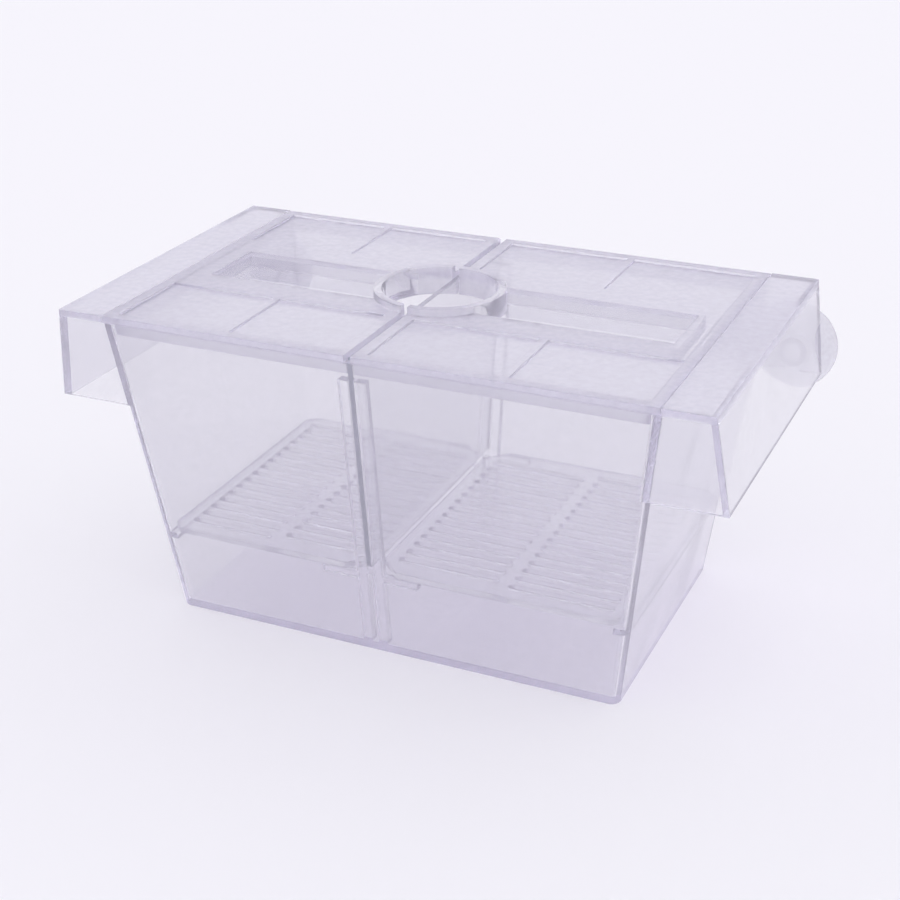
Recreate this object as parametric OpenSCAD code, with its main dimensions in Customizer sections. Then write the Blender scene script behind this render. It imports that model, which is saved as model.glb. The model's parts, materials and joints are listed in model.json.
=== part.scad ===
// Floating fish breeding box: a clear tapered tank with two end wings, a divider,
// two slotted false floors, two lid halves and two suction cups.
// The tank's base stands on z = 0, its length runs along X and its front faces -Y.

/* [Tank] */
// Length of the tank over its end walls, at the rim
tank_l = 164; // [150:1:180]
// Depth of the tank from front to back, at the rim
tank_w = 109; // [98:1:120]
// Height of the rim above the base
rim_h = 94.8; // [86:0.2:104]
// How far each wall leans in between the rim and the base
wall_lean = 11.5; // [8:0.5:14]
// Thickness of the tank's walls
wall = 2; // [1.6:0.1:2.6]
// Thickness of the tank's floor
floor_t = 2.2; // [1.8:0.1:3]
// Outside radius of the tank's upright corners
corner_r = 3; // [2.8:0.1:5]

/* [Wings] */
// Length of one wing's top, outwards from the tank's rim
wing_l = 14; // [13:0.5:18]
// Height of a wing, from its top to its open lower edge
wing_h = 28; // [26:0.5:32]
// How far the wing's end wall spreads outwards on the way down
wing_flare = 4; // [2:0.5:6]

/* [Divider] */
// How far the divider, and the lids' seam above it, lie left of the tank's middle
divider_left = 4.5; // [0:0.5:8]
// Thickness of the divider plate
divider_t = 1.6; // [1.4:0.1:2.4]
// Play on each side of the divider in its guides
slide_gap = 0.2; // [0.15:0.05:0.5]
// Thickness of one guide rib
rib_t = 3; // [2:0.1:4]
// How far a guide rib stands out from the wall
rib_d = 3; // [2.4:0.1:4]
// How far the divider's top stays below the lids' top
divider_drop = 1.4; // [1:0.1:2.2]

/* [False floor] */
// Height of the slotted floor's underside above the base
grid_h = 26; // [20:0.5:34]
// Thickness of the slotted floor
grid_t = 2; // [1.6:0.1:3]
// Width of one slot
slot_w = 2.2; // [1.8:0.1:3]
// Distance from one slot to the next
slot_pitch = 5; // [4.5:0.1:7]
// Play between the slotted floor and the walls
grid_gap = 0.6; // [0.4:0.1:1]
// How far the ledges under the slotted floor stand out
ledge_d = 2.6; // [2.2:0.1:3.4]

/* [Lids] */
// Thickness of the lid plates
lid_t = 1.8; // [1.5:0.1:2.4]
// Play between a lid's end and the wing beside it
lid_gap = 0.3; // [0.2:0.05:0.6]
// Depth of the locating skirt below the rim
skirt_d = 4; // [3:0.5:6]
// Thickness of the locating skirt
skirt_t = 1.5; // [1.2:0.1:2]
// Play between the skirt and the tank's walls
skirt_gap = 0.6; // [0.5:0.1:1]
// Depth of the sunk channel, which the feeding port stands in
channel_d = 4.5; // [4.2:0.1:6]
// Width of the sunk channel
channel_w = 23; // [18:0.5:30]
// How far the channel stops short of the tank's end
channel_short = 10; // [8:0.5:16]
// How far the feeding port's middle lies left of the tank's middle
port_left = 2; // [0:0.5:4]
// Inside radius of the feeding port
port_r = 17; // [15:0.5:20]
// Thickness of the port's collar
collar_t = 2.4; // [1.6:0.1:3]
// How far the port's collar stands above the lids
collar_rise = 2; // [1:0.1:3]
// Depth of the shallow panels in the lid's top
panel_d = 0.7; // [0.4:0.1:0.9]

/* [Suction cups] */
// Diameter of a suction cup's rim
cup_dia = 26.5; // [22:0.5:28]
// How far a suction cup's rim stands off the wing's back wall
cup_depth = 7.5; // [6.5:0.5:9]
// Diameter of the cup's neck
neck_dia = 5; // [4:0.2:6]
// Play between the neck and its slot
neck_gap = 0.2; // [0.15:0.05:0.3]
// Distance of the cup's axis from the tank's end, measured outwards at the rim
cup_offset = 7.5; // [5.5:0.25:9]
// Depth of the cup's axis below the wing's top
cup_drop = 22.5; // [16:0.5:24]

/* [Hidden] */
$fn = 64;

clear_plastic = [0.87, 0.85, 0.93, 0.45];
lid_plastic = [0.86, 0.84, 0.94, 0.55];
cup_pvc = [0.90, 0.90, 0.92, 0.6];

reach = 2 * tank_l;              // longer than anything that is cut
cut = 1;                         // how far a cut runs past a face
bond = 0.6;                      // how deep a rib is rooted in its wall
seat_gap = 0.05;                 // film of air between a loose piece and its seat
lid_low = rim_h + seat_gap;
lid_top = lid_low + lid_t;
lean_angle = atan(wall_lean / rim_h);
inner_r = max(corner_r - wall, 0.8);  // a moulded inside corner is never sharper
corner_angles = [22.5, 45, 67.5];

wing_top_x = tank_l / 2 + wing_l;
wing_low = lid_top - wing_h;
guide_half = divider_t / 2 + slide_gap;
rib_clear = 2;                   // the ribs end this far below the lids' skirts
rib_top = rim_h - skirt_d - rib_clear;
grid_low = grid_h + seat_gap;
grid_clear = 0.8;                // gap between the slotted floor and the divider
stop_top = grid_low + grid_t + grid_clear;
divider_low = stop_top + seat_gap;
divider_high = lid_top - divider_drop;
divider_gap = 0.5;               // play between the divider's edges and the walls
stop_h = 3;                      // height of the stops that carry the divider
stop_set = 0.5;                  // a stop's face lies this far behind the ribs' faces

seam_gap = 0.2;                  // the slotted floors stay this far outside the guides
grid_inner_x = guide_half + seam_gap;
grid_bevel = guide_half + rib_t + rib_d + 2 * grid_gap - grid_inner_x;
grid_rim = 4;                    // plain border round the slots
grid_bar = 4;                    // plain bar between the two columns of slots
slot_fn = 24;                    // steps round a slot's rounded ends
ledge_h = 2;
shelf_seat = 8;                  // length of floor that lies on a shelf beside the ribs
corner_shelf = grid_bevel + shelf_seat;

skirt_in = wall + skirt_gap;
collar_r = port_r + collar_t;
channel_half = channel_w / 2;
channel_low = lid_top - channel_d - lid_t;
channel_end = tank_l / 2 - channel_short;
panel_edge = 3.5;                // plain border round the panels
panel_side = 2.9;                // plain border between the port's collar and the panels
panel_bar = 2.4;                 // plain bar between two panels

neck_r = neck_dia / 2;
head_lip = 1.9;                  // how far the head reaches past the neck
dome_steps = 8;                  // steps across the hollow of a suction cup
head_r = neck_r + head_lip;
head_t = 1.8;
head_edge = 0.5;
hub_lip = 3;                     // how far the hub reaches past the neck
hub_r = neck_r + hub_lip;
hub_h = 1.6;
cup_lip = 0.7;
cup_hollow = 3.6;                // depth of the cup's hollow
cup_x = tank_l / 2 + cup_offset;
cup_z = lid_top - cup_drop;

// How far the outside of a wall lies in from the rim's outline, at height z
function lean(z) = wall_lean * (rim_h - z) / rim_h;
function half_l(z) = tank_l / 2 - lean(z);
function half_w(z) = tank_w / 2 - lean(z);
// Outer face of a wing's end wall at height z
function wing_x(z) = wing_top_x + wing_flare * (lid_top - z) / wing_h;
// Points of an arc in the plane, from angle a to angle b
function arc(cx, cy, r, a, b, steps) =
    [for (i = [0:steps]) let (t = a + (b - a) * i / steps) [cx + r * cos(t), cy + r * sin(t)]];

// Everything between two leaning planes, seen along one level direction
module leaning_pair(angle, low, high, z0, z1) {
    rotate([0, 0, angle]) rotate([90, 0, 0])
        linear_extrude(reach, center = true)
            polygon([[-low, z0], [low, z0], [high, z1], [-high, z1]]);
}

// A block with the tank's taper, set in from its outside by inset, with corner radius r
module tapered_block(z0, z1, inset, r) {
    intersection() {
        leaning_pair(0, half_l(z0) - inset, half_l(z1) - inset, z0, z1);
        leaning_pair(90, half_w(z0) - inset, half_w(z1) - inset, z0, z1);
        leaning_corner(corner_angles[0], z0, z1, inset, r);
        leaning_corner(corner_angles[1], z0, z1, inset, r);
        leaning_corner(corner_angles[2], z0, z1, inset, r);
        leaning_corner(-corner_angles[0], z0, z1, inset, r);
        leaning_corner(-corner_angles[1], z0, z1, inset, r);
        leaning_corner(-corner_angles[2], z0, z1, inset, r);
    }
}

// The two opposite corner facets that face along one angle
module leaning_corner(angle, z0, z1, inset, r) {
    low = corner_reach(z0, inset, r, abs(angle));
    high = corner_reach(z1, inset, r, abs(angle));
    leaning_pair(angle, low, high, z0, z1);
}

function corner_reach(z, inset, r, angle) =
    (half_l(z) - inset - r) * cos(angle) + (half_w(z) - inset - r) * sin(angle) + r;

// A bar along X whose section in YZ is given by points
module bar_along_x(x0, x1, points) {
    translate([x0, 0, 0]) rotate([90, 0, 90]) linear_extrude(x1 - x0) polygon(points);
}

// A bar rooted in the front (side = -1) or back (side = 1) wall, as far out as d
module wall_bar(side, x0, x1, z0, z1, d) {
    bar_along_x(x0, x1, [
        [side * (half_w(z0) - wall + bond), z0], [side * (half_w(z1) - wall + bond), z1],
        [side * (half_w(z1) - wall - d), z1], [side * (half_w(z0) - wall - d), z0]]);
}

// The tub's outside. It leans on the same planes as the wings, so their faces run through.
module tub_shell() {
    intersection() {
        tapered_block(0, lid_top, 0, corner_r);
        translate([-reach / 2, -reach / 2, 0]) cube([reach, reach, rim_h]);
    }
}

// The right wing's outside, from its root in the tank's end wall
module wing_shell() {
    intersection() {
        rotate([90, 0, 0]) linear_extrude(reach, center = true)
            polygon([
                [half_l(wing_low) - corner_r, wing_low], [wing_x(wing_low), wing_low],
                [wing_top_x, lid_top], [tank_l / 2, lid_top],
                [tank_l / 2, rim_h], [tank_l / 2 - corner_r, rim_h]]);
        leaning_pair(90, half_w(0), half_w(lid_top), 0, lid_top);
    }
}

// The right wing's air chamber, open at the bottom; the tank's end wall closes its inner side
module wing_hollow() {
    low = wing_low - cut;
    high = lid_top - wall;
    intersection() {
        rotate([90, 0, 0]) linear_extrude(reach, center = true)
            polygon([
                [half_l(low) - corner_r - cut, low], [wing_x(low) - wall, low],
                [wing_x(high) - wall, high], [half_l(high) - corner_r - cut, high]]);
        leaning_pair(90, half_w(low) - wall, half_w(high) - wall, low, high);
    }
}

// Moves to the cup's place on the wing's back wall: Z points outwards, Y down the wall
module at_cup() {
    translate([cup_x, half_w(cup_z), cup_z]) rotate([-90 - lean_angle, 0, 0]) children();
}

// The slot that takes the cup's neck, open at the wing's lower edge
module cup_slot() {
    slot_r = neck_r + neck_gap;
    at_cup() translate([0, 0, -wall - cut]) linear_extrude(wall + 2 * cut) {
        circle(slot_r);
        translate([-slot_r, 0]) square([2 * slot_r, wing_h]);
    }
}

// Two guide ribs, the divider's stop and the floor's shelves, on one wall
module guides(side) {
    translate([-divider_left, 0, 0]) {
        for (x = [guide_half, -guide_half - rib_t])
            wall_bar(side, x, x + rib_t, floor_t - bond, rib_top, rib_d);
        wall_bar(side, -guide_half - bond, guide_half + bond, stop_top - stop_h, stop_top,
            rib_d - stop_set);
        shelf_l = corner_shelf - guide_half - rib_t + bond;
        for (x = [guide_half + rib_t - bond, -corner_shelf])
            wall_bar(side, x, x + shelf_l, grid_h - ledge_h, grid_h, ledge_d);
    }
}

// The shelf under the slotted floor, along the right end wall
module end_shelf() {
    z0 = grid_h - ledge_h;
    rotate([90, 0, 0])
        linear_extrude(2 * (half_w(z0) - wall) + bond, center = true)
            polygon([
                [half_l(z0) - wall + bond, z0], [half_l(grid_h) - wall + bond, grid_h],
                [half_l(grid_h) - wall - ledge_d, grid_h], [half_l(z0) - wall - ledge_d, z0]]);
}

// The right half-block that is left when everything past x0 is kept
module right_of(x0) {
    translate([x0, -reach / 2, -reach / 2]) cube(reach);
}

module front_and_back() {
    children();
    mirror([0, 1, 0]) children();
}

module both_ends() {
    children();
    mirror([1, 0, 0]) children();
}

module tank() {
    color(clear_plastic) {
        difference() {
            union() {
                both_ends() difference() {
                    wing_shell();
                    wing_hollow();
                }
                tub_shell();
            }
            tapered_block(floor_t, rim_h + cut, wall, inner_r);
            both_ends() cup_slot();
        }
        guides(-1);
        guides(1);
        both_ends() end_shelf();
    }
}

module divider() {
    low = half_w(divider_low) - wall - divider_gap;
    high = half_w(rim_h) - wall - divider_gap;
    color(clear_plastic) translate([-divider_left, 0, 0])
        bar_along_x(-divider_t / 2, divider_t / 2, [
            [-low, divider_low], [low, divider_low], [high, rim_h],
            [high, divider_high], [-high, divider_high], [-high, rim_h]]);
}

// Rounded slots across one column of a slotted floor
module slot_column(x0, x1, y_half) {
    rows = floor((2 * y_half - slot_w) / slot_pitch);
    for (i = [0:rows]) {
        y = (i - rows / 2) * slot_pitch;
        for (x = [x0 + slot_w / 2, x1 - slot_w / 2]) translate([x, y]) circle(d = slot_w, $fn = slot_fn);
        translate([x0 + slot_w / 2, y - slot_w / 2]) square([x1 - x0 - slot_w, slot_w]);
    }
}

// A slotted floor on the right, beside a divider whose middle is at x = middle
module floor_grid(middle) {
    x_in = middle + grid_inner_x;
    x_end = half_l(grid_h) - wall - grid_gap;
    y_end = half_w(grid_h) - wall - grid_gap;
    x_mid = (x_in + x_end) / 2;
    y_slots = y_end - grid_rim;
    color(clear_plastic)
        translate([0, 0, grid_low]) linear_extrude(grid_t) difference() {
            polygon([
                [x_in, -y_end + grid_bevel], [x_in + grid_bevel, -y_end],
                [x_end - corner_r, -y_end], [x_end, -y_end + corner_r],
                [x_end, y_end - corner_r], [x_end - corner_r, y_end],
                [x_in + grid_bevel, y_end], [x_in, y_end - grid_bevel]]);
            slot_column(x_in + grid_rim, x_mid - grid_bar / 2, y_slots - grid_bevel + grid_rim);
            slot_column(x_mid + grid_bar / 2, x_end - grid_rim, y_slots);
        }
}

module floor_grid_right() {
    floor_grid(-divider_left);
}

module floor_grid_left() {
    mirror([1, 0, 0]) floor_grid(divider_left);
}

// One shallow panel in the lid's top
module panel(x0, x1, y0, y1) {
    translate([x0, y0, lid_top - panel_d]) cube([x1 - x0, y1 - y0, panel_d + cut]);
}

// The panels of a lid half that begins at x = start
module lid_panels(start) {
    x0 = start + panel_edge;
    x1 = tank_l / 2 - lid_gap - panel_edge;
    split = (x0 + x1) / 2;
    y0 = collar_r + panel_side;
    y1 = tank_w / 2 - panel_edge;
    front_and_back() {
        panel(x0, split - panel_bar / 2, y0, y1);
        panel(split + panel_bar / 2, x1, y0, y1);
    }
}

// The locating skirt under both lid halves
module skirt() {
    difference() {
        tapered_block(rim_h - skirt_d, lid_low + bond, skirt_in, inner_r);
        tapered_block(rim_h - skirt_d - cut, lid_low, skirt_in + skirt_t, inner_r);
    }
}

// The port's collar before its bore is cut, as deep as the channel's floor
module collar(port_x) {
    translate([port_x, 0, channel_low])
        cylinder(h = lid_top + collar_rise - channel_low, r = collar_r);
}

// A lid half on the right of a seam at x = middle, with its part of the port round x = port_x
module lid_half(middle, port_x) {
    start = middle + guide_half;
    difference() {
        union() {
            translate([start, -tank_w / 2, lid_low])
                cube([tank_l / 2 - lid_gap - start, tank_w, lid_t]);
            translate([start, -channel_half - lid_t, channel_low])
                cube([channel_end + lid_t - start, 2 * (channel_half + lid_t),
                      lid_low - channel_low + bond]);
            intersection() {
                union() {
                    skirt();
                    collar(port_x);
                }
                right_of(start);
            }
        }
        difference() {
            translate([-channel_end, -channel_half, lid_top - channel_d])
                cube([2 * channel_end, 2 * channel_half, channel_d + cut]);
            collar(port_x);
        }
        translate([port_x, 0, channel_low - cut])
            cylinder(h = lid_top + collar_rise - channel_low + 2 * cut, r = port_r);
        lid_panels(start);
    }
}

module lid_right() {
    color(lid_plastic) lid_half(-divider_left, -port_left);
}

module lid_left() {
    color(lid_plastic) mirror([1, 0, 0]) lid_half(divider_left, port_left);
}

// A suction cup: its head inside the wing, its neck in the slot, its thin bell outside
module suction_cup() {
    inner = -wall - neck_gap;
    hub_top = neck_gap + hub_h;
    rim_r = cup_dia / 2;
    // the hollow is a shallow dome, so its radius follows from its depth and the rim
    dome_r = (pow(rim_r - cup_lip, 2) + pow(cup_hollow, 2)) / (2 * cup_hollow);
    dome_angle = asin((rim_r - cup_lip) / dome_r);
    dome_z = cup_depth - cup_hollow + dome_r;
    color(cup_pvc) at_cup() rotate_extrude() polygon(concat(
        [[0, inner - head_t], [head_r - head_edge, inner - head_t], [head_r, inner - head_t + head_edge],
         [head_r, inner], [neck_r, inner], [neck_r, neck_gap], [hub_r, neck_gap],
         [hub_r, hub_top], [rim_r, cup_depth - cup_lip], [rim_r, cup_depth]],
        arc(0, dome_z, dome_r, dome_angle - 90, -90, dome_steps)));
}

module suction_cup_right() {
    suction_cup();
}

module suction_cup_left() {
    mirror([1, 0, 0]) suction_cup();
}

tank();
divider();
floor_grid_left();
floor_grid_right();
lid_left();
lid_right();
suction_cup_left();
suction_cup_right();
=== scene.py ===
import json
import math

import bmesh
import bpy
from mathutils import Matrix, Vector


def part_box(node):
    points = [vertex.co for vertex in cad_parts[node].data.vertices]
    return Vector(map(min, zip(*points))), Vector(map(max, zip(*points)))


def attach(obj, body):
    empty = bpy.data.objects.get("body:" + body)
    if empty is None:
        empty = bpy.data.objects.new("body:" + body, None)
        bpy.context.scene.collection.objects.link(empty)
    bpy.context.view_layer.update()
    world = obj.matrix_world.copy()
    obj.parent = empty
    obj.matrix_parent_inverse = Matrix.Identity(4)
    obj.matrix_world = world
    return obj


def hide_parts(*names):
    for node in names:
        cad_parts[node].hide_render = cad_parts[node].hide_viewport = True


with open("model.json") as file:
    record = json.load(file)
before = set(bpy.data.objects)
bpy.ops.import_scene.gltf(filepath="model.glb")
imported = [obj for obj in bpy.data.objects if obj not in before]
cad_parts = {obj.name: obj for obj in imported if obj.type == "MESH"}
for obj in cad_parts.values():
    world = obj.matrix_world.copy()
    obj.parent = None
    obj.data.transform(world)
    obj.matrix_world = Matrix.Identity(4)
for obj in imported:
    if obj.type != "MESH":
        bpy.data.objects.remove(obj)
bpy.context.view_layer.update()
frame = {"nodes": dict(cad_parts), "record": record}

# --- Camera -----------------------------------------------------------------
# It looks down on the tank's front right corner by about 25 degrees, tilted a trace to one side.
MM = 0.001                      # lengths are in metres, and this is a millimetre
EYE = Vector((187.3, -414.5, 260.2)) * MM
LOOKED_AT = Vector((0.8, 0.0, 46.9)) * MM
CAMERA_LEAN = math.radians(-0.4)
LENS_MM = 66.5

scene = bpy.context.scene
camera_data = bpy.data.cameras.new("camera")
camera_data.lens = LENS_MM
camera_data.clip_start = 10 * MM
camera = bpy.data.objects.new("camera", camera_data)
aim = (LOOKED_AT - EYE).to_track_quat("-Z", "Y").to_matrix().to_4x4()
camera.matrix_world = Matrix.Translation(EYE) @ aim @ Matrix.Rotation(CAMERA_LEAN, 4, "Z")
scene.collection.objects.link(camera)
scene.camera = camera

# --- Tub and wings ----------------------------------------------------------
# One injection moulding in clear polystyrene: a tapered tub with a hollow wing at each end,
# guide ribs, stops and shelves. Its skin copies a polished steel mould, and a violet toner
# gathers where light runs along a wall. The wings' tops are satin, like the lids.
POLYSTYRENE_IOR = 1.59
TONER = "#BDB4EC"               # what is left of white light after a long way through
TONER_PER_M = 2.5
HAZE = "#F0EDFA"                # the faint milky bloom on a moulded polystyrene skin
HAZE_SHARE = 0.15
SATIN_SHARE = 0.17              # what the satin texture adds to the bloom
SATIN_FADE = 0.4 * MM           # how softly the texture ends
SHADOW_TINT = "#FDFCFE"         # what one face lets through to a shadow
POLISH = 0.03
SINK_MM = 38.0                  # width of the slow waves that shrinkage leaves in a wall
SINK_DETAIL = 1.0               # a shrunk wall has few finer waves on its slow ones
SINK_DEPTH = 1.0 * MM
WALL_SINK = 0.25                # how strong those waves are in the tub's walls
RUB_MM = 2.2                    # width of the faint rubs that handling leaves
RUB_DETAIL = 4.0                # a rub is made of finer and finer ones
RUB_SPAN = (0.3, 0.75)          # the noise where a rub begins, and where it is full
RUB_ROUGH = (0.6, 1.8)          # roughness beside a rub and in it, in times the polish
BLOOM_SPAN = (0.25, 0.8)        # the noise where the bloom begins to rise, and where it is full
RUB_BLOOM = (0.85, 1.2)         # bloom beside a rub and in it, in times its share
BLOOM_ONWARDS = 0.5             # share of the bloom's light that goes on into the piece
WING_TOP_T = 2.4 * MM           # the satin reaches this far down from the wings' tops
wing_tops_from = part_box("tank")[1][2] - WING_TOP_T
nodes = frame["nodes"]


def linear(hex_colour):
    """An sRGB hex colour as linear red, green, blue and alpha."""
    channels = [int(hex_colour[i:i + 2], 16) / 255 for i in (1, 3, 5)]
    return [c / 12.92 if c <= 0.04045 else ((c + 0.055) / 1.055) ** 2.4 for c in channels] + [1.0]


def add_node(tree, kind, settings=None, links=None, **sockets):
    """Adds a shader node, sets its properties and sockets, and links outputs into it."""
    node = tree.nodes.new(kind)
    for name, value in (settings or {}).items():
        setattr(node, name, value)
    for name, value in sockets.items():
        node.inputs[name.replace("_", " ")].default_value = value
    for name, output in (links or {}).items():
        tree.links.new(output, node.inputs[name])
    return node


def new_material(name):
    """An empty node material, its tree, and the coordinates of the piece that wears it."""
    material = bpy.data.materials.new(name)
    material.use_nodes = True
    material.node_tree.nodes.clear()
    return material, material.node_tree, add_node(material.node_tree, "ShaderNodeTexCoord")


def clear_skin(tree, place, ior, haze, share, polish, sink, satin=None):
    """A refracting skin with a little bloom, waves and rubs; satin is where it is textured."""
    rubs = add_node(tree, "ShaderNodeTexNoise", links={"Vector": place.outputs["Object"]},
                    Scale=1 / (RUB_MM * MM), Detail=RUB_DETAIL).outputs["Fac"]
    rubbed = add_node(tree, "ShaderNodeMapRange", links={"Value": rubs},
                      From_Min=RUB_SPAN[0], From_Max=RUB_SPAN[1],
                      To_Min=polish * RUB_ROUGH[0], To_Max=polish * RUB_ROUGH[1])
    shrunk = add_node(tree, "ShaderNodeTexNoise", links={"Vector": place.outputs["Object"]},
                      Scale=1 / (SINK_MM * MM), Detail=SINK_DETAIL)
    wavy = add_node(tree, "ShaderNodeBump", links={"Height": shrunk.outputs["Fac"]},
                    Strength=sink, Distance=SINK_DEPTH)
    skin = add_node(tree, "ShaderNodeBsdfPrincipled",
                    links={"Roughness": rubbed.outputs["Result"], "Normal": wavy.outputs["Normal"]},
                    Base_Color=(1, 1, 1, 1), IOR=ior, Transmission_Weight=1.0)
    # A milky skin scatters as much light onwards as it throws back.
    back = add_node(tree, "ShaderNodeBsdfDiffuse", Color=linear(haze))
    onwards = add_node(tree, "ShaderNodeBsdfTranslucent", Color=linear(haze))
    bloom = add_node(tree, "ShaderNodeMixShader", links={1: back.outputs[0], 2: onwards.outputs[0]},
                     Fac=BLOOM_ONWARDS)
    bloom_share = add_node(tree, "ShaderNodeMapRange", links={"Value": rubs},
                           From_Min=BLOOM_SPAN[0], From_Max=BLOOM_SPAN[1],
                           To_Min=share * RUB_BLOOM[0],
                           To_Max=share * RUB_BLOOM[1]).outputs["Result"]
    if satin:
        bloom_share = add_node(tree, "ShaderNodeMath", {"operation": "MULTIPLY_ADD"}, {
            0: satin, 2: bloom_share})
        bloom_share.inputs[1].default_value = SATIN_SHARE
        bloom_share = bloom_share.outputs[0]
    return add_node(tree, "ShaderNodeMixShader",
                    links={0: bloom_share, 1: skin.outputs[0], 2: bloom.outputs[0]}).outputs[0]


def fill(tree, surface, toner, toner_per_m):
    """Puts toner inside a skin, and lets lamps shine through it."""
    lit_through = add_node(tree, "ShaderNodeBsdfTransparent", Color=linear(SHADOW_TINT))
    path = add_node(tree, "ShaderNodeLightPath")
    skin = add_node(tree, "ShaderNodeMixShader", links={
        0: path.outputs["Is Shadow Ray"], 1: surface, 2: lit_through.outputs[0]})
    inside = add_node(tree, "ShaderNodeVolumeAbsorption", Color=linear(toner), Density=toner_per_m)
    add_node(tree, "ShaderNodeOutputMaterial", links={
        "Surface": skin.outputs[0], "Volume": inside.outputs[0]})


def wear(node_name, material):
    """Puts a material on a moulding, whose shape stays as the CAD has it."""
    piece = nodes[node_name]
    piece.data.materials.clear()
    piece.data.materials.append(material)
    return piece


tub_plastic, tree, place = new_material("clear_polystyrene_tub")
height = add_node(tree, "ShaderNodeSeparateXYZ", links={"Vector": place.outputs["Object"]})
wing_tops = add_node(tree, "ShaderNodeMapRange", links={"Value": height.outputs["Z"]},
                     From_Min=wing_tops_from, From_Max=wing_tops_from + SATIN_FADE)
fill(tree, clear_skin(tree, place, POLYSTYRENE_IOR, HAZE, HAZE_SHARE, POLISH, WALL_SINK,
                      wing_tops.outputs["Result"]), TONER, TONER_PER_M)
wear("tank", tub_plastic)

# --- Slotted false floors ---------------------------------------------------
# Two thin mouldings of the same polystyrene, with rows of slots that only newborn fry can
# drop through. They lie on the shelves. A plainer mould half leaves them a shade duller.
FLOOR_HAZE_SHARE = 1.2 * HAZE_SHARE
FLOOR_POLISH = 2 * POLISH
FLAT_SINK = 0.15                # thin flat pieces shrink more evenly than the tub
MOULD_EDGE = 0.15 * MM          # radius of the loose pieces' edges; the tank keeps the CAD's own


def dress(node_name, material):
    """Puts a material on a moulding and rounds its edges; its flat faces stay flat."""
    piece = wear(node_name, material)
    weld = piece.modifiers.new("one_skin", "WELD")
    weld.merge_threshold = 0.001 * MM
    # A face is made whole again before its edges are rounded: it comes as a fan of triangles.
    whole = piece.modifiers.new("whole_faces", "DECIMATE")
    whole.decimate_type = "DISSOLVE"
    whole.angle_limit = math.radians(0.5)
    edges = piece.modifiers.new("moulded_edges", "BEVEL")
    edges.width = MOULD_EDGE
    edges.segments = 2
    edges.limit_method = "ANGLE"
    edges.angle_limit = math.radians(25)
    edges.harden_normals = True
    # The clamp would give every edge the width that fits the tightest corner.
    edges.use_clamp_overlap = False
    edges.loop_slide = False


floor_plastic, tree, place = new_material("clear_polystyrene_floor")
fill(tree, clear_skin(tree, place, POLYSTYRENE_IOR, HAZE, FLOOR_HAZE_SHARE, FLOOR_POLISH,
                      FLAT_SINK), TONER, TONER_PER_M)
for side in ("left", "right"):
    dress(f"floor_grid_{side}", floor_plastic)

# --- Divider ----------------------------------------------------------------
# A plate sawn from clear polystyrene sheet, which slides down between the guide ribs.
# Its faces and its flamed top edge are as bright as the tub. Its sawn front and back edges
# are rough, with saw marks. Their slate grey is painted shade for how dark they look from outside.
# Painted shade: this slate grey on the divider's front and back edges stands in for how dark a
# clear edge looks from outside.
SAWN_EDGE_PAINTED_SHADE = "#6F7C8C"
SAWN_AND_SHADE_SHARE = 0.5
SAW_MARK_MM = 0.7               # spacing of the marks that the saw leaves along an edge
SAW_MARK_DETAIL = 2.0
SAW_MARK_DEPTH = 0.1 * MM
SAW_MARK_STRENGTH = 0.5
SAWN_ROUGH = 0.6
SAWN_AND_SHADE_SPAN = (0.4, 0.8)          # how squarely a face looks at the wall: a plain face, and a sawn edge with its painted shade
divider_plastic, tree, place = new_material("clear_polystyrene_sheet")
face = clear_skin(tree, place, POLYSTYRENE_IOR, HAZE, HAZE_SHARE, POLISH, FLAT_SINK)
saw_lines = add_node(tree, "ShaderNodeTexNoise", links={"Vector": place.outputs["Object"]},
                     Scale=1 / (SAW_MARK_MM * MM), Detail=SAW_MARK_DETAIL)
saw_marks = add_node(tree, "ShaderNodeBump", links={"Height": saw_lines.outputs["Fac"]},
                     Strength=SAW_MARK_STRENGTH, Distance=SAW_MARK_DEPTH)
# The sawn edges' saw marks and roughness are real; their slate grey base colour is painted shade.
sawn_and_shaded_edge = add_node(tree, "ShaderNodeBsdfPrincipled", links={"Normal": saw_marks.outputs["Normal"]},
                Base_Color=linear(SAWN_EDGE_PAINTED_SHADE), Roughness=SAWN_ROUGH)
facing = add_node(tree, "ShaderNodeSeparateXYZ", links={"Vector": place.outputs["Normal"]})
to_wall = add_node(tree, "ShaderNodeMath", {"operation": "ABSOLUTE"}, {0: facing.outputs["Y"]})
on_edge = add_node(tree, "ShaderNodeMapRange", links={"Value": to_wall.outputs[0]},
                   From_Min=SAWN_AND_SHADE_SPAN[0], From_Max=SAWN_AND_SHADE_SPAN[1], To_Min=0.0, To_Max=SAWN_AND_SHADE_SHARE)
plate = add_node(tree, "ShaderNodeMixShader", links={
    0: on_edge.outputs["Result"], 1: face, 2: sawn_and_shaded_edge.outputs[0]})
fill(tree, plate.outputs[0], TONER, TONER_PER_M)
dress("divider", divider_plastic)

# --- Lid halves -------------------------------------------------------------
# Two polystyrene mouldings that lie on the rim, with a sunk channel, shallow panels and part
# of the feeding port each. Their plates have a fine satin texture, eroded into the mould,
# which turns them milky. The channel is left polished, to see the fish through.
LID_SINK = 0.35                 # the wide lids sink more than the walls
channel_box = next(opening["box_m"] for opening in frame["record"]["physics"]["openings"]
                   if opening["name"] == "lid_channel_right")
channel_end, channel_side, _ = channel_box[1]
lid_plastic, tree, place = new_material("clear_polystyrene_lid")
from_middle = add_node(tree, "ShaderNodeVectorMath", {"operation": "ABSOLUTE"},
                       {0: place.outputs["Object"]})
axes = add_node(tree, "ShaderNodeSeparateXYZ", links={"Vector": from_middle.outputs[0]})
past_end = add_node(tree, "ShaderNodeMapRange", links={"Value": axes.outputs["X"]},
                    From_Min=channel_end, From_Max=channel_end + SATIN_FADE)
past_side = add_node(tree, "ShaderNodeMapRange", links={"Value": axes.outputs["Y"]},
                     From_Min=channel_side, From_Max=channel_side + SATIN_FADE)
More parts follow.
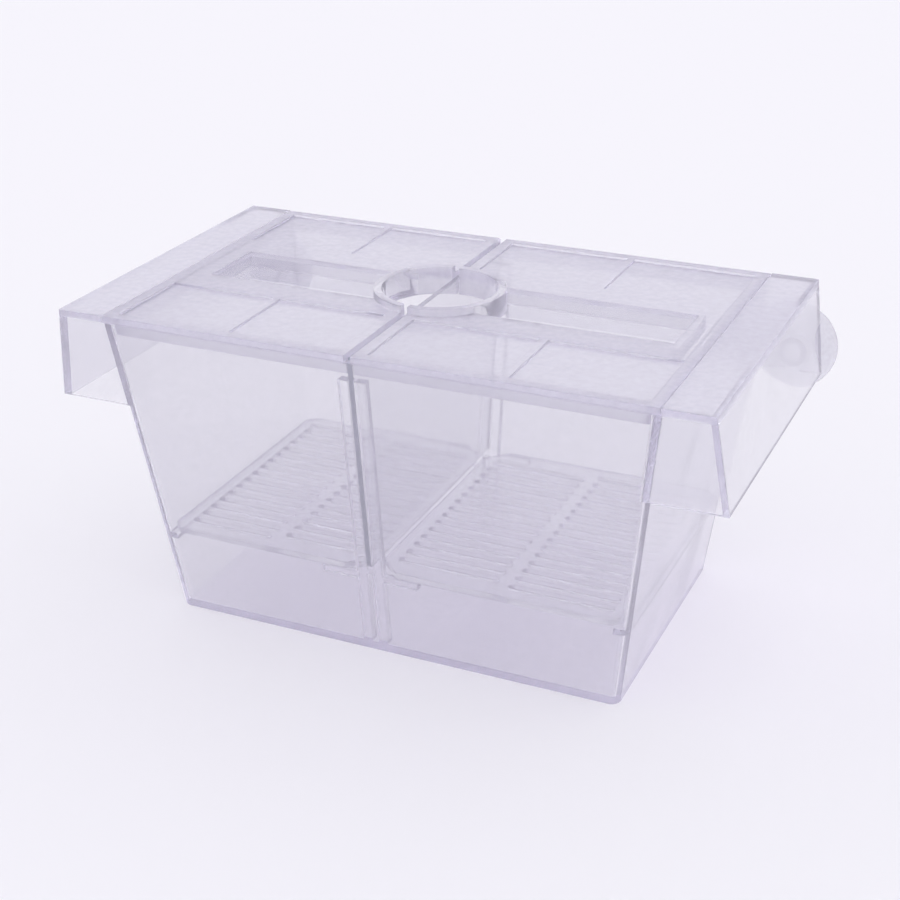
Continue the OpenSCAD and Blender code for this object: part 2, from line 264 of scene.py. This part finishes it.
plates = add_node(tree, "ShaderNodeMath", {"operation": "MAXIMUM"}, {
    0: past_end.outputs["Result"], 1: past_side.outputs["Result"]})
fill(tree, clear_skin(tree, place, POLYSTYRENE_IOR, HAZE, HAZE_SHARE, POLISH, LID_SINK,
                      plates.outputs[0]), TONER, TONER_PER_M)
for side in ("left", "right"):
    dress(f"lid_{side}", lid_plastic)

# --- Suction cups -----------------------------------------------------------
# Clear soft PVC, injection moulded in one piece: a round head inside the wing, a neck in the
# slot and a thin bell that flattens on the glass. It is softer and cloudier than polystyrene.
PVC_IOR = 1.53
PVC_TINT = "#B9B2DA"
PVC_HAZE = "#E9E7F1"
PVC_HAZE_SHARE = 0.36
PVC_POLISH = 0.1
PVC_SINK = 0.3
PVC_TINT_PER_M = 14.0
BELL_STANDS_OFF = 7.5 * MM      # from the wing's back wall to the bell's rim
NECK_PLAY = 0.2 * MM            # the hub's small gap to the wall, and the head's
WALL_AND_PLAY = 2.0 * MM + NECK_PLAY
HEAD_R, HEAD_T = 4.4 * MM, 1.8 * MM
NECK_R = 2.5 * MM
HUB_R, HUB_T = 5.5 * MM, 1.6 * MM
LIP_T = 0.7 * MM                # thickness of the bell at its rim
HOLLOW_D = 3.6 * MM
HOLLOW_BULGE = 0.28 * HOLLOW_D  # how far the hollow swells out of a straight cone
BELL_BULGE = 0.9 * MM           # how far the bell's back swells out of a straight cone
HEAD_FLAT = 0.55                # share of the head's radius that is flat
HEAD_BULGE = 0.42 * MM
SOFT = 0.3 * MM                 # radius of the small edges that the mould leaves
SOFT_BULGE = SOFT * 0.3
EDGE_STEPS, HEAD_STEPS, BELL_STEPS = 3, 6, 16
TURNS = 96
ON_AXIS = 1e-7                  # a radius below this, in metres, is the middle


def arc(start, end, bulge, steps):
    """Points from start to end on an arc that swells by bulge to the left of the way."""
    (x0, y0), (x1, y1) = start, end
    way = Vector((x1 - x0, y1 - y0))
    radius = (way.length ** 2 / 4 + bulge ** 2) / (2 * abs(bulge))
    left = Vector((-way.y, way.x)).normalized() * math.copysign(1, bulge)
    centre = Vector((x0 + x1, y0 + y1)) / 2 + left * (abs(bulge) - radius)
    first = Vector(start) - centre
    sweep = -math.copysign(2 * math.asin(way.length / 2 / radius), bulge)
    return [tuple(centre + Matrix.Rotation(sweep * i / steps, 2) @ first) for i in range(steps + 1)]


def turned(name, profile, matrix):
    """A solid turned round its axis from a profile of (radius, height) points."""
    shape = bmesh.new()
    rings = []
    for radius, height in profile:
        if radius < ON_AXIS:
            rings.append([shape.verts.new((0, 0, height))])
        else:
            rings.append([shape.verts.new((radius * math.cos(a), radius * math.sin(a), height))
                          for a in (2 * math.pi * i / TURNS for i in range(TURNS))])
    for low, high in zip(rings, rings[1:]):
        for i in range(TURNS):
            corners = [low[i % len(low)], low[(i + 1) % len(low)],
                       high[(i + 1) % len(high)], high[i % len(high)]]
            shape.faces.new(list(dict.fromkeys(corners)))
    bmesh.ops.recalc_face_normals(shape, faces=shape.faces)
    bmesh.ops.transform(shape, matrix=matrix, verts=shape.verts)
    mesh = bpy.data.meshes.new(name)
    shape.to_mesh(mesh)
    mesh.shade_smooth()
    piece = bpy.data.objects.new(name, mesh)
    scene.collection.objects.link(piece)
    return piece


def cup_profile(rim_r):
    """Half of a cup's section, from its head inside the wing to the middle of its hollow."""
    inner = -WALL_AND_PLAY
    rim_high = BELL_STANDS_OFF
    hub_top = NECK_PLAY + HUB_T
    points = [(0, inner - HEAD_T)]
    points += arc((HEAD_R * HEAD_FLAT, inner - HEAD_T), (HEAD_R, inner - SOFT * 2),
                  -HEAD_BULGE, HEAD_STEPS)
    points += [(HEAD_R - SOFT * 0.4, inner - SOFT * 0.4), (HEAD_R - SOFT * 1.4, inner)]
    points += arc((NECK_R + SOFT, inner), (NECK_R, inner + SOFT), SOFT_BULGE, EDGE_STEPS)
    points += arc((NECK_R, NECK_PLAY - SOFT), (NECK_R + SOFT, NECK_PLAY), SOFT_BULGE, EDGE_STEPS)
    points += arc((HUB_R - SOFT, NECK_PLAY), (HUB_R, NECK_PLAY + SOFT), -SOFT_BULGE, EDGE_STEPS)
    points += arc((HUB_R, hub_top - SOFT), (HUB_R + SOFT, hub_top), SOFT_BULGE, EDGE_STEPS)
    points += arc((HUB_R + SOFT * 2, hub_top + SOFT * 0.5), (rim_r - SOFT * 0.5, rim_high - LIP_T),
                  -BELL_BULGE, BELL_STEPS)
    points += arc((rim_r, rim_high - LIP_T * 0.5), (rim_r - SOFT, rim_high),
                  -SOFT * 0.15, EDGE_STEPS)
    points += arc((rim_r - LIP_T, rim_high), (0, rim_high - HOLLOW_D), HOLLOW_BULGE, BELL_STEPS)
    return points


pvc, tree, place = new_material("clear_soft_pvc")
fill(tree, clear_skin(tree, place, PVC_IOR, PVC_HAZE, PVC_HAZE_SHARE, PVC_POLISH, PVC_SINK),
     PVC_TINT, PVC_TINT_PER_M)
for side in ("left", "right"):
    mount = next(m for m in frame["record"]["mounts"] if m["name"] == f"cup_face_{side}")
    lowest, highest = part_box(f"suction_cup_{side}")
    rim_r = (highest[0] - lowest[0]) / 2
    outwards = Vector(mount["axis"])
    rim_centre = Vector(((highest[0] + lowest[0]) / 2, mount["pos_m"][1], mount["pos_m"][2]))
    turn = outwards.to_track_quat("Z", "Y").to_matrix().to_4x4()
    seat = Matrix.Translation(rim_centre - outwards * BELL_STANDS_OFF) @ turn
    cup = turned(f"cup_{side}", cup_profile(rim_r), seat)
    cup.data.materials.append(pvc)
    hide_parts(f"suction_cup_{side}")
    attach(cup, f"suction_cup_{side}")

# --- Floor, backdrop and light ----------------------------------------------
# Plain pale paper, not part of the object, under two wide soft lights and a pale sky. The sky
# looks a little brighter than it lights.
PAPER = "#F1F0F4"
PAPER_ROUGH = 0.85
BACKDROP = "#F4F3F8"
FLOOR_HALF = 4.0                # metres from the tank's middle to the paper's edge
FLOOR_LOW = 0.1 * MM            # the paper lies this far below the base
SKY_LIGHTS = 0.9
SKY_LOOKS = 1.0
LIGHT_SPREAD = math.radians(50)
CLEAR_BOUNCES, GLOSS_BOUNCES = 32, 16
floor_mesh = bpy.data.meshes.new("floor")
sweep = bmesh.new()
bmesh.ops.create_grid(sweep, x_segments=1, y_segments=1, size=FLOOR_HALF)
sweep.to_mesh(floor_mesh)
floor = bpy.data.objects.new("floor", floor_mesh)
floor.location.z = -FLOOR_LOW
scene.collection.objects.link(floor)
paper, tree, place = new_material("matt_paper")
matt = add_node(tree, "ShaderNodeBsdfPrincipled", Base_Color=linear(PAPER), Roughness=PAPER_ROUGH)
add_node(tree, "ShaderNodeOutputMaterial", links={"Surface": matt.outputs[0]})
floor_mesh.materials.append(paper)

world = bpy.data.worlds.new("studio")
scene.world = world
world.use_nodes = True
sky = world.node_tree
sky.nodes.clear()
path = add_node(sky, "ShaderNodeLightPath")
through = add_node(sky, "ShaderNodeMath", {"operation": "MAXIMUM"}, {
    0: path.outputs["Is Glossy Ray"], 1: path.outputs["Is Transmission Ray"]})
seen = add_node(sky, "ShaderNodeMath", {"operation": "MAXIMUM"}, {
    0: path.outputs["Is Camera Ray"], 1: through.outputs[0]})
lights_up = add_node(sky, "ShaderNodeBackground", Color=linear(BACKDROP), Strength=SKY_LIGHTS)
looks = add_node(sky, "ShaderNodeBackground", Color=linear(BACKDROP), Strength=SKY_LOOKS)
backdrop = add_node(sky, "ShaderNodeMixShader", links={
    0: seen.outputs[0], 1: lights_up.outputs[0], 2: looks.outputs[0]})
add_node(sky, "ShaderNodeOutputWorld", links={"Surface": backdrop.outputs[0]})


def soft_light(name, comes_from, strength):
    """An even, very wide light, which reaches near and far floor alike."""
    data = bpy.data.lights.new(name, "SUN")
    data.energy = strength
    data.angle = LIGHT_SPREAD
    lamp = bpy.data.objects.new(name, data)
    lamp.rotation_euler = (-comes_from).to_track_quat("-Z", "Y").to_euler()
    scene.collection.objects.link(lamp)


soft_light("overhead_left", comes_from=Vector((-0.55, -0.35, 1.1)), strength=0.7)
soft_light("from_behind", comes_from=Vector((0.5, 0.9, 0.7)), strength=0.25)

# Clear walls stand behind each other, so light needs many bounces to get through.
scene.view_settings.view_transform = "Standard"
scene.cycles.max_bounces = CLEAR_BOUNCES
scene.cycles.transmission_bounces = CLEAR_BOUNCES
scene.cycles.glossy_bounces = GLOSS_BOUNCES
scene.cycles.transparent_max_bounces = CLEAR_BOUNCES
